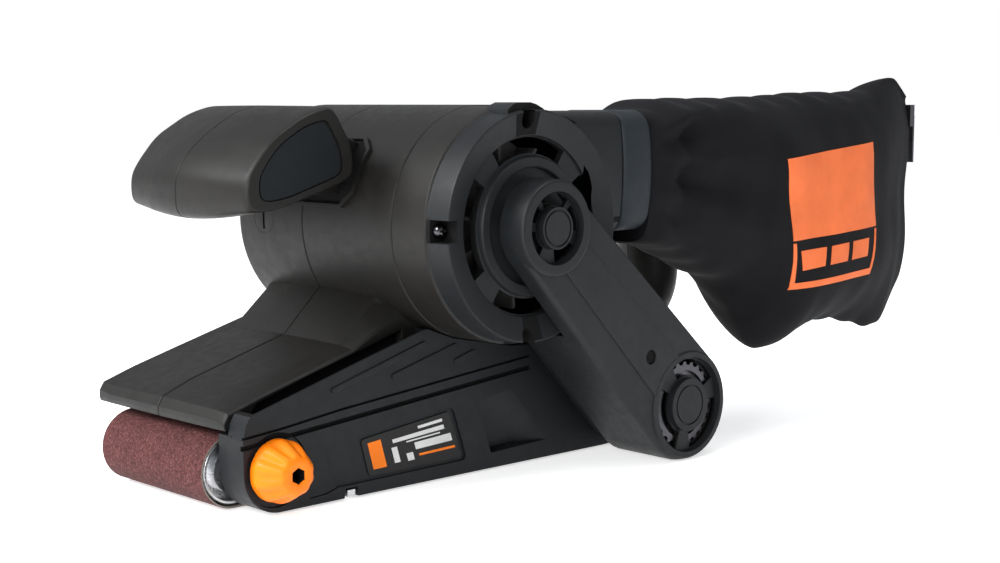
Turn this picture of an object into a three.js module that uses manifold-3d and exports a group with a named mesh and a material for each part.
// Handheld belt sander with a transverse motor, a side drive cover and a fabric dust bag.
// Millimetres. +X is the front of the tool, +Y its left side (drive cover), +Z is up.
// The origin is the centre of the flat underside of the sanding belt.
import * as THREE from "three";
import { mergeVertices } from "three/addons/utils/BufferGeometryUtils.js";
import Module from "manifold-3d";

const kernel = await Module();
kernel.setup();

const group = new THREE.Group();
group.name = "belt_sander";

// ---------------------------------------------------------------- main sizes
const GAP = 0.3; // clearance between pieces that meet
const BELT_THICK = 1.2;
const BELT_HALF = 38.1; // half of the 76.2 mm belt width
const FRONT = { x: 102, z: 15.5, r: 15.5 }; // front roller, radius over the belt
const REAR = { x: -102, z: 25.5, r: 25.5 }; // drive roller, radius over the belt
const MOTOR = { x: -13.2, z: 111.2, r: 51, bore: 46.8 };
const SEAM = 0.15; // half of the gap between the two housing halves
const LEFT_END = 60.8; // where the left housing half meets the fan housing
const RIGHT_END = -49;
const CAP_FACE = 94.5; // outer face of the fan housing
const COVER_FACE = 105; // outer face of the drive cover
const COVER_ROOT = 70; // below this the drive cover steps in round its shaft boss
const HUB_R = 20.75;
const ARM_R = 26.3;
const KNOB = { x: 95, z: 17.8 }; // tracking knob axis

// ---------------------------------------------------------------- materials
const FINISHES = {
  body_plastic: ["#34363a", 0.55, 0.0],
  cover_plastic: ["#2f3136", 0.5, 0.0],
  panel_plastic: ["#3a3c41", 0.7, 0.0],
  knob_plastic: ["#ff8c14", 0.45, 0.0],
  fabric: ["#191a1c", 0.95, 0.0],
  abrasive: ["#7d4a48", 0.95, 0.0],
  steel: ["#b9bcc0", 0.3, 1.0],
  dark_steel: ["#54575b", 0.4, 1.0],
  aluminium: ["#c3c6c9", 0.35, 1.0],
  casting: ["#8e9296", 0.55, 1.0],
  copper: ["#b06a3c", 0.35, 1.0],
  rubber: ["#161617", 0.9, 0.0],
  cork: ["#5a4636", 0.95, 0.0],
  carbon: ["#1d1d1f", 0.8, 0.0],
  label: ["#c9ccd0", 0.5, 0.0],
};

function materialOf(slot) {
  const [colour, roughness, metalness] = FINISHES[slot];
  const material = new THREE.MeshStandardMaterial({ color: colour, roughness, metalness });
  material.name = slot;
  return material;
}

// ---------------------------------------------------------------- solid helpers
function toSolid(geometry) {
  const bare = geometry.clone();
  bare.deleteAttribute("normal");
  bare.deleteAttribute("uv");
  const merged = mergeVertices(bare, 1e-4);
  const position = Float32Array.from(merged.attributes.position.array);
  const corners = [];
  const index = merged.index.array;
  for (let i = 0; i < index.length; i += 3) {
    const [a, b, c] = [index[i], index[i + 1], index[i + 2]];
    if (a !== b && b !== c && c !== a) corners.push(a, b, c);
  }
  if (signedVolume(position, corners) < 0) {
    for (let i = 0; i < corners.length; i += 3) {
      [corners[i], corners[i + 1]] = [corners[i + 1], corners[i]];
    }
  }
  return new kernel.Manifold(new kernel.Mesh({
    numProp: 3, vertProperties: position, triVerts: Uint32Array.from(corners),
  }));
}

function signedVolume(position, corners) {
  const at = (i) => new THREE.Vector3().fromArray(position, 3 * i);
  let total = 0;
  for (let i = 0; i < corners.length; i += 3) {
    total += at(corners[i]).dot(at(corners[i + 1]).cross(at(corners[i + 2])));
  }
  return total;
}

function fromSolid(solid) {
  const mesh = solid.getMesh();
  const geometry = new THREE.BufferGeometry();
  const position = Float32Array.from(mesh.vertProperties);
  geometry.setAttribute("position", new THREE.BufferAttribute(position, 3));
  geometry.setIndex(Array.from(mesh.triVerts));
  geometry.computeVertexNormals();
  return geometry;
}

function join(...solids) {
  return solids.reduce((all, solid) => all.add(solid));
}

function cut(solid, ...tools) {
  return tools.reduce((rest, tool) => rest.subtract(tool), solid);
}

function add(name, solid, slot) {
  const mesh = new THREE.Mesh(fromSolid(solid), materialOf(slot));
  mesh.name = name;
  group.add(mesh);
}

// Plate with an outline in the XZ plane, spanning y0 to y1.
function plate(outline, y0, y1, bevel = 0, hole = null) {
  const shape = new THREE.Shape(outline.map(([x, z]) => new THREE.Vector2(x, z)));
  if (hole) shape.holes.push(new THREE.Path(hole.map(([x, z]) => new THREE.Vector2(x, z))));
  const geometry = new THREE.ExtrudeGeometry(shape, {
    depth: y1 - y0 - 2 * bevel, bevelEnabled: bevel > 0, bevelThickness: bevel,
    bevelSize: bevel, bevelOffset: -bevel, bevelSegments: 1,
  });
  geometry.rotateX(Math.PI / 2);
  geometry.translate(0, y1 - bevel, 0);
  return toSolid(geometry);
}

function block(x0, x1, y0, y1, z0, z1) {
  const geometry = new THREE.BoxGeometry(x1 - x0, y1 - y0, z1 - z0);
  geometry.translate((x0 + x1) / 2, (y0 + y1) / 2, (z0 + z1) / 2);
  return toSolid(geometry);
}

// Drum along Y.
function drum(x, z, radius, y0, y1, segments = 24) {
  const geometry = new THREE.CylinderGeometry(radius, radius, y1 - y0, segments);
  geometry.translate(x, (y0 + y1) / 2, z);
  return toSolid(geometry);
}

// Ring along Y.
function ring(x, z, outer, inner, y0, y1, segments = 24) {
  return cut(drum(x, z, outer, y0, y1, segments), drum(x, z, inner, y0 - 1, y1 + 1, segments));
}

// Turned piece along Y; the profile lists [radius, y] from the axis back to the axis.
function turned(x, z, profile, segments = 28) {
  const points = profile.map(([radius, y]) => new THREE.Vector2(radius, y));
  const geometry = new THREE.LatheGeometry(points, segments);
  geometry.translate(x, 0, z);
  return toSolid(geometry);
}

// Round rod between two points.
function rod(from, to, radius, segments = 24) {
  const start = new THREE.Vector3(...from);
  const axis = new THREE.Vector3(...to).sub(start);
  const geometry = new THREE.CylinderGeometry(radius, radius, axis.length(), segments);
  geometry.translate(0, axis.length() / 2, 0);
  const up = new THREE.Vector3(0, 1, 0);
  geometry.applyQuaternion(new THREE.Quaternion().setFromUnitVectors(up, axis.normalize()));
  geometry.translate(...from);
  return toSolid(geometry);
}

// Skin over a row of rings with the same number of points; `flat` picks the two cap axes.
function loft(given, flat) {
  const flatOf = (points) => points.map((p) => new THREE.Vector2(p[flat[0]], p[flat[1]]));
  const clockwise = THREE.ShapeUtils.isClockWise(flatOf(given[0]));
  const rings = clockwise ? given.map((points) => [...points].reverse()) : given;
  const count = rings[0].length;
  const position = [];
  const corners = [];
  for (const points of rings) for (const point of points) position.push(...point);
  for (let k = 0; k + 1 < rings.length; k++) {
    for (let i = 0; i < count; i++) {
      const a = k * count + i;
      const b = k * count + ((i + 1) % count);
      corners.push(a, b, a + count, b, b + count, a + count);
    }
  }
  const last = (rings.length - 1) * count;
  for (const [a, b, c] of THREE.ShapeUtils.triangulateShape(flatOf(rings[0]), [])) {
    corners.push(a, c, b);
  }
  for (const [a, b, c] of THREE.ShapeUtils.triangulateShape(flatOf(rings.at(-1)), [])) {
    corners.push(last + a, last + b, last + c);
  }
  const geometry = new THREE.BufferGeometry();
  geometry.setAttribute("position", new THREE.Float32BufferAttribute(position, 3));
  geometry.setIndex(corners);
  return toSolid(geometry);
}

// ---------------------------------------------------------------- outlines
function arc(x, z, radius, from, to, steps) {
  const points = [];
  for (let i = 0; i <= steps; i++) {
    const angle = THREE.MathUtils.degToRad(from + ((to - from) * i) / steps);
    points.push([x + radius * Math.cos(angle), z + radius * Math.sin(angle)]);
  }
  return points;
}

// Outline around two circles and their outer tangents.
function belted(a, b, steps = 14) {
  const heading = THREE.MathUtils.radToDeg(Math.atan2(b.z - a.z, b.x - a.x));
  const span = Math.hypot(b.x - a.x, b.z - a.z);
  const tilt = THREE.MathUtils.radToDeg(Math.acos((a.r - b.r) / span));
  return [
    ...arc(a.x, a.z, a.r, heading + tilt, heading - tilt + 360, steps),
    ...arc(b.x, b.z, b.r, heading - tilt, heading + tilt, steps),
  ];
}

function grown(circle, by) {
  return { x: circle.x, z: circle.z, r: circle.r + by };
}

function toothed(circle, depth, count) {
  const points = [];
  const pitch = 360 / count;
  for (let i = 0; i < count; i++) {
    const spots = [[0.0, 0], [0.3, 0], [0.45, -depth], [0.85, -depth]];
    for (const [part, sink] of spots) {
      const angle = THREE.MathUtils.degToRad(pitch * (i + part));
      const radius = circle.r + sink;
      points.push([circle.x + radius * Math.cos(angle), circle.z + radius * Math.sin(angle)]);
    }
  }
  return points;
}

function middle(outline) {
  const total = outline.reduce(([a, b], [x, z]) => [a + x, b + z], [0, 0]);
  return total.map((value) => value / outline.length);
}

function scaled(outline, factor) {
  const [cx, cz] = middle(outline);
  return outline.map(([x, z]) => [cx + (x - cx) * factor, cz + (z - cz) * factor]);
}

function mixed(a, b, part) {
  return a.map(([x, z], i) => [x + (b[i][0] - x) * part, z + (b[i][1] - z) * part]);
}

function lifted(outline, y) {
  return outline.map(([x, z]) => [x, y, z]);
}

// ---------------------------------------------------------------- rollers and sanding belt
function buildRollers() {
  const outer = belted(REAR, FRONT, 14);
  const inner = belted(grown(REAR, -BELT_THICK), grown(FRONT, -BELT_THICK), 14);
  add("sanding_belt", plate(outer, -BELT_HALF, BELT_HALF, 0, inner), "abrasive");

  const front = FRONT.r - BELT_THICK - GAP;
  const profile = [[5.4, -37.5], [front - 0.8, -37.5], [front, -36.7], [front, 36.7],
    [front - 0.8, 37.5], [5.4, 37.5], [5.4, -37.5]];
  add("front_roller", turned(FRONT.x, FRONT.z, profile), "aluminium");
  add("front_axle", drum(FRONT.x, FRONT.z, 5, -40.8, 40.8, 28), "steel");

  const rear = REAR.r - BELT_THICK - GAP;
  const sleeve = [[21, -37.5], [rear - 1, -37.5], [rear, -36.5], [rear, 36.5],
    [rear - 1, 37.5], [21, 37.5], [21, -37.5]];
  add("drive_roller_sleeve", turned(REAR.x, REAR.z, sleeve, 36), "rubber");
  const core = cut(
    drum(REAR.x, REAR.z, 20.7, -37.5, 37.5, 32), drum(REAR.x, REAR.z, 5.3, -40, 40, 28),
    ring(REAR.x, REAR.z, 17.5, 9, -40, -30), ring(REAR.x, REAR.z, 17.5, 9, 30, 40));
  add("drive_roller_core", core, "aluminium");
  add("drive_shaft", drum(REAR.x, REAR.z, 5, -39.5, 102.3, 28), "steel");
  for (const [name, y0, y1] of [["inner", 40.6, 47], ["outer", 85, 91.8]]) {
    add(`drive_bearing_${name}`, ring(REAR.x, REAR.z, 12.7, 5.4, y0, y1, 20), "dark_steel");
  }
}

// ---------------------------------------------------------------- sole and front yoke
function buildSole() {
  add("platen_pad", block(-76, 84, -37.5, 37.5, 1.5, 3), "cork");
  const sheet = plate([[-78, 6.6], [-79, 5.6], [-76, 3.3], [84, 3.3], [87, 5.6], [86, 6.6],
    [83.5, 4.8], [-75.5, 4.8]], -37.5, 37.5);
  add("platen_sheet", sheet, "steel");
}

const YOKE_Z0 = 9.5;
const YOKE_Z1 = 21.5;

function buildYoke() {
  const arms = [];
  for (const side of [-1, 1]) {
    const y0 = side > 0 ? 38.1 : -40.4;
    const outline = [[76, YOKE_Z0], ...arc(FRONT.x, FRONT.z, 6, -90, 90, 10), [76, YOKE_Z1]];
    arms.push(plate(outline, y0, y0 + 2.3));
  }
  const web = block(76, 79.5, -40.4, 40.4, YOKE_Z0, YOKE_Z1);
  const guide = rod([40, 0, FRONT.z], [77, 0, FRONT.z], 3.6);
  const bore = drum(FRONT.x, FRONT.z, 5.3, -50, 50, 28);
  add("front_yoke", cut(join(...arms, web, guide), bore), "dark_steel");

  const turns = 5;
  const spring = new THREE.Curve();
  spring.getPoint = (t) => {
    const angle = 2 * Math.PI * turns * t;
    return new THREE.Vector3(
      59.3 + 15.4 * t, 5.6 * Math.cos(angle), FRONT.z + 5.6 * Math.sin(angle));
  };
  const wire = new THREE.Shape(arc(0, 0, 0.8, 0, 270, 3).map(([x, y]) => new THREE.Vector2(x, y)));
  const coil = new THREE.ExtrudeGeometry(wire, { steps: turns * 9, extrudePath: spring });
  add("tension_spring", toSolid(coil), "steel");
}

const LEVER = { x: 64, y: -43 };

function buildLever() {
  const hub = rod([LEVER.x, LEVER.y, 9.2], [LEVER.x, LEVER.y, 22.8], 4.4);
  const grip = plate([[0, 9.8], [8, 10.8], [60, 10.8], [60, 21.2], [8, 21.2], [0, 22.2]],
    -45.6, -41.2, 0.8);
  const body = cut(join(hub, grip), rod([LEVER.x, LEVER.y, 0], [LEVER.x, LEVER.y, 30], 2.3));
  add("tension_lever", body, "cover_plastic");
  add("lever_pin", rod([LEVER.x, LEVER.y, 5.6], [LEVER.x, LEVER.y, 26.6], 1.9, 20), "steel");
}

// ---------------------------------------------------------------- base casting
// Height of the housing floor above the upper belt run.
function floorAt(x) {
  return 45 - 0.1 * x;
}

function buildBase() {
  const wall = [
    [72, 5.1], [72, floorAt(72) - 1.4], [-60, floorAt(-60) - 1.4],
    ...arc(REAR.x, REAR.z, 24, 75, 262, 14), [-92, 3.2], [52, 3.2],
  ];
  const bed = [
    [-74, 5.1], [82, 5.1], [82, 8], [58, 8], [58, 30.6], [34, 30.6], [30, 22.6], [-66, 22.6],
    [-66, 8], [-74, 8]];
  const lugs = [
    block(50, 68.6, -47.5, -36, 5.1, 8.6), block(50, 68.6, -47.5, -36, 23.4, 27)];
  const solid = join(
    plate(wall, 43.3, 47), plate(bed, -37.5, 43.5), ...lugs,
    ring(REAR.x, REAR.z, 16, 8, 43.3, 92, 36));
  const base = cut(
    solid, rod([33, 0, FRONT.z], [60, 0, FRONT.z], 4.1),
    rod([LEVER.x, LEVER.y, 0], [LEVER.x, LEVER.y, 30], 2.2),
    block(72.1, 84, 40.8, 44, 4, 9), drum(REAR.x, REAR.z, 8, 40, 95, 32),
    drum(REAR.x, REAR.z, 13, 40, 47.5, 36), drum(REAR.x, REAR.z, 13, 84.6, 95, 36));
  add("base_frame", base, "casting");
}

// ---------------------------------------------------------------- side cover
const SIDE_IN = 47.3;
const SIDE_OUT = 58;

function groove(points, width) {
  const strips = [];
  for (let i = 0; i + 1 < points.length; i++) {
    const [[x0, z0], [x1, z1]] = [points[i], points[i + 1]];
    strips.push(plate([[x0, z0], [x1, z1], [x1, z1 - width], [x0, z0 - width]],
      SIDE_OUT - 1, SIDE_OUT + 2));
  }
  return join(...strips);
}

function buildSideCover() {
  const outline = [
    ...arc(93.5, 17.8, 17.3, -90, 0, 8), [111, 31], [107, 41.7], [60, 54.2], [16.5, 67.4],
    [0.7, 60.8], [-22, 56.4], [-35, 54.1], [-70, 53.6], ...arc(REAR.x, REAR.z, 24.4, 80, 262, 14),
    [-94, 0.6], [53.6, 0.6], [54, 4.6], [60.4, 4.6], [61, 0.6],
  ];
  const body = plate(outline, SIDE_IN, SIDE_OUT, 0);
  const arm = plate([
    ...arc(93.5, 17.8, 17.3, -90, 0, 8), [110.8, floorAt(110) - 1.6], [72.4, floorAt(72.4) - 1.4],
    [72.4, 5.1], [83, 4.4]], 41.2, 48);
  const upper = groove([[112, 33], [60.4, 38], [-46, 47.6]], 1.2);
  const lower = groove([[112, 29.4], [60.4, 34.6], [-46, 44]], 2);
  const label = plate([[60.7, 24.5], [0.9, 31.5], [-7.5, 6.7], [55.3, 6.4]], 57, 60);
  const scoop = loft([
    lifted([[-13.3, 31.8], [-35.3, 35.3], [-57.6, 8.8], [-21.9, 7.4]], 59),
    lifted([[-14.3, 31], [-25.5, 32.6], [-41, 9.2], [-22.4, 8.4]], 51.5)], [0, 2]);
  const channel = plate([[105, 37.8], [60, 49.6], [13, 62.4], [13, 80], [60, 66], [105, 52]], 46, 56.6);
  const knobSeat = drum(KNOB.x, KNOB.z, 15.2, 57, 60, 36);
  const back = plate([[70, 8], [70, 37], [60, 38.6], [10, 46], [-2, 46], [-8, 8]], 45, 54);
  const cover = cut(
    join(body, arm), upper, lower, label, scoop, back, channel, knobSeat,
    drum(KNOB.x, KNOB.z, 3.6, 40, 60, 24),
    drum(REAR.x, REAR.z, 16.4, 40, 60, 36), drum(MOTOR.x, MOTOR.z, MOTOR.r + 0.4, 40, 60, 48));
  const ribs = [];
  const lines = [[66.4, 46.6, 16.8, 60.2], [33.8, 48.4, -1.1, 56.6]];
  for (const [x0, z0, x1, z1] of lines) {
    ribs.push(plate([[x0, z0], [x1, z1], [x1, z1 - 1.6], [x0, z0 - 1.6]], 57.5, 59));
  }
  add("side_cover", join(cover, ...ribs), "body_plastic");
  add("label_plate", plate([[52, 23.8], [3, 29.6], [-4.6, 8], [47.6, 7.6]], 57.2, 57.7), "label");
  add("platen_tab", block(55.2, 59.2, 48, 57.6, 0.9, 3.6), "steel");
}

function buildKnob() {
  const flutes = [];
  for (let i = 0; i < 10; i++) {
    const angle = (2 * Math.PI * i) / 10;
    const [c, s] = [Math.cos(angle), Math.sin(angle)];
    flutes.push(rod(
      [KNOB.x + 14.8 * c, 59.5, KNOB.z + 14.8 * s], [KNOB.x + 9.8 * c, 74, KNOB.z + 9.8 * s], 1.9, 6));
  }
  const body = turned(KNOB.x, KNOB.z, [[0, 57.4], [12.9, 57.4], [13, 60.6], [11.6, 65], [9.3, 70.3],
    [8.2, 72.2], [5.6, 72.8], [4.4, 71], [0, 71]], 36);
  add("tracking_knob", cut(body, ...flutes), "knob_plastic");
  add("tracking_screw", drum(KNOB.x, KNOB.z, 3.1, 43, 57.1, 20), "steel");
}

// ---------------------------------------------------------------- motor housing
const NOSE_CENTRE = [
  [112.4, 34], [112.8, 38.2], [109.4, 43], [97, 47.6], [48.6, 62.1], [31, 79], [10, 100], [-20, 100],
  [-50, 98], [-63, 78], [-76, 66], [-112, 62.5], [-127, 57], [-133, 46], [-133.5, 35],
  [-131, 35], [-124, 45], [-115, 51.6], [-102, 54.6], [-60, 51], [50, 40], [108, 33.4],
];
const NOSE_EDGE = [
  [111.4, 34], [111.8, 38], [108.6, 42], [94.6, 46.2], [47, 59.9], [26.6, 76.2], [8, 98], [-20, 98],
  [-48, 96], [-61, 76], [-75, 64], [-111, 60.5], [-125, 55], [-131, 45], [-132, 36],
  [-131, 35.2], [-124, 45.2], [-115, 51.8], [-102, 54.8], [-60, 51.2], [50, 40.2], [108, 33.6],
];
const NOSE_HOLLOW = [
  [104, 38.4], [96, 43], [47, 57.2], [29, 74], [8, 82], [-34, 82], [-50, 74], [-58, 62],
  [-54, 53.6], [0, 48], [50, 43],
];
const GRIP_PATH = [
  [-44, 126], [-75, 131], [-120, 133], [-158, 130], [-182, 116], [-191, 92], [-190.5, 66],
  [-175, 50.5], [-148, 46], [-118, 52],
];
const GRIP_DEPTH = [16, 15, 14.5, 15, 15.5, 15.5, 15, 13, 12, 8];
const GRIP_WIDTH = 17;
const GRIP_SIDES = 14;

// Elliptical sweep along the rear handle line, `wall` inside its outer skin.
function gripSweep(wall, first, last) {
  const line = new THREE.CatmullRomCurve3(GRIP_PATH.map(([x, z]) => new THREE.Vector3(x, 0, z)));
  const steps = 18;
  const rings = [];
  for (let k = 0; k <= steps; k++) {
    const part = first + ((last - first) * k) / steps;
    const centre = line.getPoint(part);
    const along = line.getTangent(part);
    const spot = part * (GRIP_DEPTH.length - 1);
    const low = Math.min(Math.floor(spot), GRIP_DEPTH.length - 2);
    const depth = THREE.MathUtils.lerp(GRIP_DEPTH[low], GRIP_DEPTH[low + 1], spot - low) - wall;
    const points = [];
    for (let i = 0; i < GRIP_SIDES; i++) {
      const angle = (2 * Math.PI * i) / GRIP_SIDES;
      const out = depth * Math.cos(angle);
      const y = (GRIP_WIDTH - wall) * Math.sin(angle);
      points.push([centre.x - along.z * out, y, centre.z + along.x * out]);
    }
    rings.push(points);
  }
  return loftAlong(rings);
}

// Skin over convex rings that face along a curve.
function loftAlong(rings) {
  const count = rings[0].length;
  const position = rings.flat(2);
  const corners = [];
  for (let k = 0; k + 1 < rings.length; k++) {
    for (let i = 0; i < count; i++) {
      const a = k * count + i;
      const b = k * count + ((i + 1) % count);
      corners.push(a, b, a + count, b, b + count, a + count);
    }
  }
  const last = (rings.length - 1) * count;
  for (let i = 1; i + 1 < count; i++) {
    corners.push(0, i + 1, i, last, last + i, last + i + 1);
  }
  const geometry = new THREE.BufferGeometry();
  geometry.setAttribute("position", new THREE.Float32BufferAttribute(position, 3));
  geometry.setIndex(corners);
  return toSolid(geometry);
}

function housingHalf(side) {
  const near = side * SEAM;
  const edge = side > 0 ? 46.6 : -49;
  const nose = loft([
    lifted(NOSE_CENTRE, near), lifted(mixed(NOSE_CENTRE, NOSE_EDGE, 0.25), edge * 0.6),
    lifted(mixed(NOSE_CENTRE, NOSE_EDGE, 0.4), edge - side * 7), lifted(NOSE_EDGE, edge)], [0, 2]);
  const end = side > 0 ? LEFT_END : RIGHT_END;
  const [y0, y1] = side > 0 ? [near, end] : [end, near];
  const barrel = side > 0
    ? drum(MOTOR.x, MOTOR.z, MOTOR.r, y0, y1, 48)
    : turned(MOTOR.x, MOTOR.z, [[0, end], [MOTOR.r - 5, end], [MOTOR.r - 1.5, end + 1.5],
      [MOTOR.r, end + 5], [MOTOR.r, near], [0, near]], 48);
  const half = block(-300, 200, side > 0 ? near : -100, side > 0 ? 100 : near, 0, 200);
  const grip = gripSweep(0, 0, 1).intersect(half);
  const inner = gripSweep(3, 0.0, 0.93).intersect(block(-300, 200, -100, 100, 0, 200));
  const hollow = side > 0
    ? plate(NOSE_HOLLOW, -5, 43.4) : plate(NOSE_HOLLOW, -43, 5);
  const bore = side > 0
    ? drum(MOTOR.x, MOTOR.z, MOTOR.bore, -5, 70, 48) : drum(MOTOR.x, MOTOR.z, MOTOR.bore, -44, 5, 48);
  const wheelWell = drum(REAR.x, REAR.z, REAR.r + 3, -60, 60, 36);
  return cut(join(nose, barrel, grip), hollow, bore, inner, wheelWell);
}

function buildHousing() {
  const slot = block(-129, -89, -8, 8, 100, 124);
  const gland = rod([-230, 0, 98], [-195, 0, 98], 7.8, 28);
  const button = drum(-100, 132, 4.4, 8, 30, 24);
  const left = cut(housingHalf(1), slot, gland, button);
  add("left_housing", left, "body_plastic");

  const seat = ring(MOTOR.x, MOTOR.z, 12.4, 9.4, -44.5, -37.5, 32);
  const vents = [];
  for (let i = 0; i < 10; i++) {
    const angle = (2 * Math.PI * (i + 0.5)) / 10;
    const [c, s] = [Math.cos(angle), Math.sin(angle)];
    const [px, pz] = [-s * 1.8, c * 1.8];
    const [ax, az] = [MOTOR.x + 17 * c, MOTOR.z + 17 * s];
    const [bx, bz] = [MOTOR.x + 38 * c, MOTOR.z + 38 * s];
    vents.push(plate([[ax + px, az + pz], [ax - px, az - pz], [bx - px, bz - pz],
      [bx + px, bz + pz]], -50, -42));
  }
  const ports = rod([-80, BRUSH_Y, MOTOR.z], [60, BRUSH_Y, MOTOR.z], 7.4, 28);
  const right = cut(join(housingHalf(-1), seat), slot, gland, ports, ...vents);
  add("right_housing", right, "body_plastic");
}

// ---------------------------------------------------------------- fan housing and duct
const DUCT = { y0: 52, y1: 92, z0: 106, z1: 159.5, end: -68 };

function ductShape(grow, bulge) {
  const [y0, y1] = [DUCT.y0 - grow, DUCT.y1 + grow];
  const [z0, z1] = [DUCT.z0 - grow, DUCT.z1 + grow];
  const r = 7 + grow;
  const corners = [[y1 - r, z1 - r, 0], [y0 + r, z1 - r, 90], [y0 + r, z0 + r, 180],
    [y1 - r, z0 + r, 270]];
  const points = corners.flatMap(([y, z, start]) => arc(y, z, r, start, start + 90, 4));
  const centre = (z0 + z1) / 2;
  return points.map(([y, z]) => {
    const part = 1 - Math.min(1, Math.abs(z - centre) / (z1 - centre)) ** 2;
    return [y + (y > 72 ? bulge * part : 0), z];
  });
}

function ductTube(x0, x1, grow, bulge) {
  const face = ductShape(grow, bulge);
  return loft([face.map(([y, z]) => [x0, y, z]), face.map(([y, z]) => [x1, y, z])], [1, 2]);
}

const SCREW_SPOTS = [[0, 46], [90, 45], [180, 46], [270, 45]];

function around(angle, radius) {
  const turn = THREE.MathUtils.degToRad(angle);
  return [MOTOR.x + radius * Math.cos(turn), MOTOR.z + radius * Math.sin(turn)];
}

function buildFanHousing() {
  const y0 = LEFT_END + GAP;
  const shell = turned(MOTOR.x, MOTOR.z, [[0, y0], [51, y0], [51, 82], [50.4, 88.5], [48.9, CAP_FACE],
    [0, CAP_FACE]], 48);
  const crest = plate([[-22, 154], [3, 154], [3, 160.4], [-1.4, 162.4], [-4.6, 163.4], [-12.2, 163.4],
    [-20.6, 160.6]], LEFT_END + GAP, CAP_FACE - 1.9);
  const posts = SCREW_SPOTS.map(([angle]) => {
    const [x, z] = around(angle, 45.5);
    return drum(x, z, 6.6, y0, 92, 14);
  });
  const room = drum(MOTOR.x, MOTOR.z, 46.8, 50, 90.4, 48);
  const seat = ring(MOTOR.x, MOTOR.z, 13, 9.8, 79, 91, 32);
  const hull = drum(MOTOR.x, MOTOR.z, 50.8, y0, 94, 48);
  const walls = join(cut(join(shell, crest), room), seat, join(...posts).intersect(hull));
  const slots = [];
  for (let i = 0; i < 4; i++) {
    const start = 90 * i + 5 + 45;
    const outline = [...arc(MOTOR.x, MOTOR.z, 37, start, start + 80, 8),
      ...arc(MOTOR.x, MOTOR.z, 29, start + 80, start, 8)];
    slots.push(plate(outline, 88, 97));
  }
  const step = ring(MOTOR.x, MOTOR.z, 29.2, 25, 92.4, 97, 56);
  const pockets = SCREW_SPOTS.map(([angle]) => {
    const [x, z] = around(angle, 46.6);
    return block(x - 5, x + 5, 84.6, 97, z - 5, z + 5);
  });
  const outlet = block(-75, -28, 64, 90, 112, 154).intersect(
    cut(block(-90, -14, 60, 92, 105, 160), drum(MOTOR.x, MOTOR.z, 44, 50, 99, 48)));
  const bore = drum(MOTOR.x, MOTOR.z, 5, 70, 97, 28);
  add("fan_housing", cut(walls, ...slots, step, ...pockets, outlet, bore), "body_plastic");

  const names = ["front", "top", "rear", "bottom"];
  SCREW_SPOTS.forEach(([angle], i) => {
    const [x, z] = around(angle, 45.5);
    const head = turned(x, z, [[0, 84.9], [3.4, 84.9], [3.4, 87.2], [2.6, 88.2], [1.6, 88.2],
      [1.4, 86.8], [0, 86.8]], 12);
    add(`cap_screw_${names[i]}`, head, "steel");
  });

  const tube = cut(ductTube(-16, DUCT.end, 0, 3), ductTube(0, DUCT.end - 5, -2.6, 3),
    drum(MOTOR.x, MOTOR.z, MOTOR.r + 0.4, 40, 100, 48), block(-29.5, 20, 40, 100, 90, 170));
  add("dust_duct", tube, "body_plastic");
}

// ---------------------------------------------------------------- drive cover and transmission
const HUB = { x: MOTOR.x, z: MOTOR.z, r: HUB_R };
const ARM = { x: REAR.x, z: REAR.z, r: ARM_R };

function arcSlots(circle, inner, outer, spans, y0, y1) {
  return spans.map(([from, to]) => plate([
    ...arc(circle.x, circle.z, outer, from, to, 7),
    ...arc(circle.x, circle.z, inner, to, from, 7)], y0, y1));
}

function buildDriveCover() {
  const body = join(
    plate(belted(HUB, ARM, 12), COVER_ROOT, COVER_FACE, 1.6),
    plate(belted(grown(HUB, -5), grown(ARM, -5), 12), 58.3, COVER_ROOT + 1));
  const room = join(
    plate(belted(grown(HUB, -2.6), grown(ARM, -2.6), 10), COVER_ROOT + 2.6, 102.8),
    plate(belted(grown(HUB, -7.6), grown(ARM, -7.6), 10), 50, COVER_ROOT + 3));
  const rim = ring(HUB.x, HUB.z, 19.9, 15.2, COVER_FACE - 1, 108, 32);
  const boss = turned(HUB.x, HUB.z, [[0, 103], [9.6, 103], [9.6, 107.4], [8.9, 108.2], [6.4, 108.2],
    [6, 107.2], [0, 107.2]], 24);
  const below = block(-200, 50, 0, 200, -10, 0.4);
  const motorCut = drum(MOTOR.x, MOTOR.z, MOTOR.r + 0.4, 50, CAP_FACE + GAP, 48);
  const ductCut = ductTube(-10, -100, 0.4, 3.6);
  const shell = cut(body, room, motorCut, below, ductCut,
    ring(HUB.x, HUB.z, 15.2, 9.6, 104, 110, 32), ring(ARM.x, ARM.z, 23, 13, 104.1, 110, 32));
  const slots = [
    ...arcSlots(HUB, 11.2, 14.8, [[20, 95], [150, 235], [262, 345]], 100, 110),
    ...arcSlots(ARM, 14.4, 21.8, [[25, 115], [145, 235], [265, 355]], 100, 110)];
  const screw = drum(-75, 50.3, 3.4, 104, 110, 20);
  add("drive_cover", cut(join(shell, rim, boss), ...slots, screw), "cover_plastic");
  add("cover_screw_lower", drum(-75, 50.3, 2.9, 104.2, 104.9, 20), "dark_steel");
}

const PULLEY_Y0 = 95.7;
const PULLEY_Y1 = 101.9;
const SMALL = { x: MOTOR.x, z: MOTOR.z, r: 8.8 };
const LARGE = { x: REAR.x, z: REAR.z, r: 19.4 };

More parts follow.
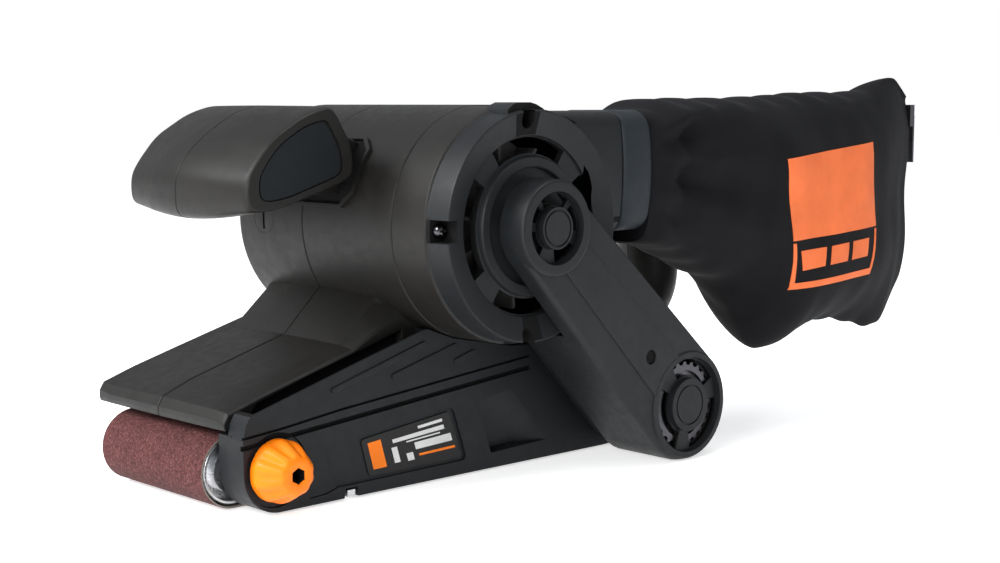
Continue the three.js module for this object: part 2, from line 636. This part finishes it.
function buildTransmission() {
  const small = plate(toothed(SMALL, 1.4, 11), PULLEY_Y0, PULLEY_Y1);
  add("motor_pulley", cut(small, drum(SMALL.x, SMALL.z, 4.3, 90, 110, 24)), "dark_steel");
  const large = plate(toothed(LARGE, 1.4, 24), PULLEY_Y0, PULLEY_Y1);
  const wheel = cut(large, drum(LARGE.x, LARGE.z, 5.3, 90, 110, 28),
    ring(LARGE.x, LARGE.z, 15.5, 9, 99.6, 110, 36));
  add("driven_pulley", wheel, "carbon");
  const inner = belted(grown(SMALL, GAP), grown(LARGE, GAP), 10);
  const outer = belted(grown(SMALL, GAP + 1.5), grown(LARGE, GAP + 1.5), 10);
  add("toothed_belt", plate(outer, 96.3, 101.3, 0, inner), "rubber");
}

// ---------------------------------------------------------------- motor inside
const BRUSH_Y = -29;

function buildMotor() {
  const { x, z } = MOTOR;
  add("armature_shaft", drum(x, z, 4, -43.4, 102.2, 24), "steel");
  add("armature_core", ring(x, z, 22, 4.3, -16, 22, 28), "dark_steel");
  add("commutator", ring(x, z, 12, 4.3, -35, -22, 30), "copper");
  add("stator", ring(x, z, 38, 23, -16, 22, 32), "dark_steel");
  add("field_coil", ring(x, z, 36, 27, 22.4, 31, 28), "copper");
  add("motor_bearing_far", ring(x, z, 9.1, 4.3, -43.6, -38, 20), "steel");
  add("motor_bearing_near", ring(x, z, 9.5, 4.3, 83.5, 90.2, 20), "steel");

  const blades = [];
  for (let i = 0; i < 10; i++) {
    const angle = (2 * Math.PI * i) / 10;
    const [c, s] = [Math.cos(angle), Math.sin(angle)];
    const [px, pz] = [-s * 0.8, c * 0.8];
    const [ax, az] = [x + 9 * c, z + 9 * s];
    const [bx, bz] = [x + 36 * c - 7 * s, z + 36 * s + 7 * c];
    blades.push(plate([[ax + px, az + pz], [ax - px, az - pz], [bx - px, bz - pz],
      [bx + px, bz + pz]], 65, 77));
  }
  const fan = cut(join(drum(x, z, 37.2, 63.4, 65.4, 32), drum(x, z, 10, 63.4, 77, 28), ...blades),
    drum(x, z, 4.3, 50, 90, 24));
  add("cooling_fan", fan, "panel_plastic");

  for (const [name, side] of [["front", 1], ["rear", -1]]) {
    const at = (from, to) => (side > 0 ? [x + from, x + to] : [x - to, x - from]);
    const [b0, b1] = at(12.4, 39.6);
    add(`brush_${name}`, block(b0, b1, BRUSH_Y - 3, BRUSH_Y + 3, z - 4, z + 4), "carbon");
    const cap = rod([x + side * 40, BRUSH_Y, z], [x + side * 49.6, BRUSH_Y, z], 7, 24);
    const notch = block(...at(48.4, 52), BRUSH_Y - 5.5, BRUSH_Y + 5.5, z - 0.8, z + 0.8);
    add(`brush_cap_${name}`, cut(cap, notch), "cover_plastic");
  }
}

// ---------------------------------------------------------------- front handle
const HANDLE_END = [
  [56, 162], [68, 158.7], [84.7, 148.9], [93.7, 138.5], [98.2, 131.4], [98, 120.3], [93, 118.4],
  [80, 120], [60, 126.2], [46, 130.7], [42, 134.4], [43, 145.5], [52, 160.8],
];
const HANDLE_MID = [
  [60, 162.4], [72, 159.2], [87, 150.2], [97.5, 141], [102.4, 132.9], [102.3, 117.8], [96, 114.6],
  [80, 116.6], [60, 122.8], [44, 127.4], [38.6, 133], [39.4, 146], [50, 160.6],
];

function handleHalf(side) {
  const rings = [[SEAM, 0, 1], [20, 0.3, 1], [37, 0.9, 1], [41.5, 1, 0.985], [44, 1, 0.93]];
  const body = loft(rings.map(([y, blend, size]) =>
    lifted(scaled(mixed(HANDLE_MID, HANDLE_END, blend), size), side * y)), [0, 2]);
  const hollow = loft([[-1, 0], [20, 0.3], [40.6, 1]].map(([y, blend]) =>
    lifted(scaled(mixed(HANDLE_MID, HANDLE_END, blend), 0.86), side * y)), [0, 2]);
  const [y0, y1] = side > 0 ? [SEAM, 24] : [-24, -SEAM];
  const neck = plate([[34, 124], [50, 124], [54, 160], [42, 154], [24, 146], [24, 136]], y0, y1);
  const recess = side > 0
    ? plate(scaled(HANDLE_END, 0.7), 43, 46) : plate(scaled(HANDLE_END, 0.7), -46, -43);
  return cut(join(body, neck), hollow, recess,
    drum(MOTOR.x, MOTOR.z, MOTOR.r + GAP, -60, 60, 48));
}

function buildFrontHandle() {
  add("front_handle_left", handleHalf(1), "body_plastic");
  add("front_handle_right", handleHalf(-1), "body_plastic");
  const panel = scaled(HANDLE_END, 0.67);
  add("front_panel_left", plate(panel, 43.3, 44.3), "panel_plastic");
  add("front_panel_right", plate(panel, -44.3, -43.3), "panel_plastic");
}

// ---------------------------------------------------------------- switch gear
function buildSwitch() {
  const outline = [[-91, 120.5], [-126, 120.5], [-126.5, 116], [-121, 109.5], [-108, 108],
    [-96, 111.5], [-91, 116.5]];
  add("trigger", plate(outline, -7, 7, 1), "panel_plastic");
  add("switch_body", block(-134, -94, -7, 7, 127, 141.5), "carbon");
  add("lock_button", turned(-100, 132, [[0, 10.6], [4, 10.6], [4, 18.4], [3.2, 19.2], [0, 19.2]],
    24), "knob_plastic");
  const gland = cut(rod([-217, 0, 98], [-203, 0, 98], 7.4, 28), rod([-220, 0, 98], [-200, 0, 98], 4, 20));
  add("cord_gland", gland, "rubber");
}

// ---------------------------------------------------------------- dust bag
const BAG = [
  [-86.4, 104, 162, 22.4], [-94, 101, 164, 25], [-108, 97.5, 165, 28], [-129, 88.5, 165.4, 30.5],
  [-143, 82, 165.4, 32], [-158, 75, 165.4, 33], [-171, 61, 165.6, 34], [-180, 48.5, 166, 34],
  [-190, 39.5, 166.4, 34], [-200, 38.4, 167, 34], [-228, 47.4, 168.6, 32], [-257, 48.2, 169, 28],
  [-276, 44, 169.6, 23], [-291, 41, 174.5, 17], [-304, 42, 177, 11.5], [-314, 46.5, 173, 7.5],
  [-324, 60, 168, 4.5],
];
const BAG_Y = 72;

function bagSkin(inset) {
  const rings = BAG.map(([x, low, high, half], k) => {
    const [cz, hz] = [(low + high) / 2, (high - low) / 2 - inset];
    const points = [];
    for (let i = 0; i < 16; i++) {
      const angle = (2 * Math.PI * (i + 0.5)) / 16;
      const [c, s] = [Math.cos(angle), Math.sin(angle)];
      const power = k < 2 ? 0.45 : 0.8;
      const y = BAG_Y + (half - inset) * Math.sign(c) * Math.abs(c) ** power;
      points.push([x, y, cz + hz * Math.sign(s) * Math.abs(s) ** power]);
    }
    return points;
  });
  return rings;
}

function buildBag() {
  const outer = loft(bagSkin(0), [1, 2]);
  const inner = bagSkin(2.2).slice(0, -2);
  inner[0] = inner[0].map(([, y, z]) => [-84, y, z]);
  add("dust_bag", cut(outer, loft(inner, [1, 2])), "fabric");

  const bulged = [[DUCT.end - GAP, 0.8], [-71, 2], [-76, 2.6], [-82, 2.3], [-86, 1]];
  const collar = loft(bulged.map(([x, grow]) =>
    ductShape(grow, 3).map(([y, z]) => [x, y, z])), [1, 2]);
  add("bag_collar", cut(collar, ductTube(-60, -100, -2.6, 3)), "panel_plastic");
  add("zipper_slider", block(-329.4, -325.3, BAG_Y - 4, BAG_Y + 4, 150, 162), "dark_steel");
  add("zipper_pull", block(-331.2, -329.8, BAG_Y - 3, BAG_Y + 3, 130, 156), "dark_steel");
}

// ---------------------------------------------------------------- assembly
buildRollers();
buildSole();
buildYoke();
buildLever();
buildBase();
buildSideCover();
buildKnob();
buildHousing();
buildFanHousing();
buildDriveCover();
buildTransmission();
buildMotor();
buildFrontHandle();
buildSwitch();
buildBag();

export default group;
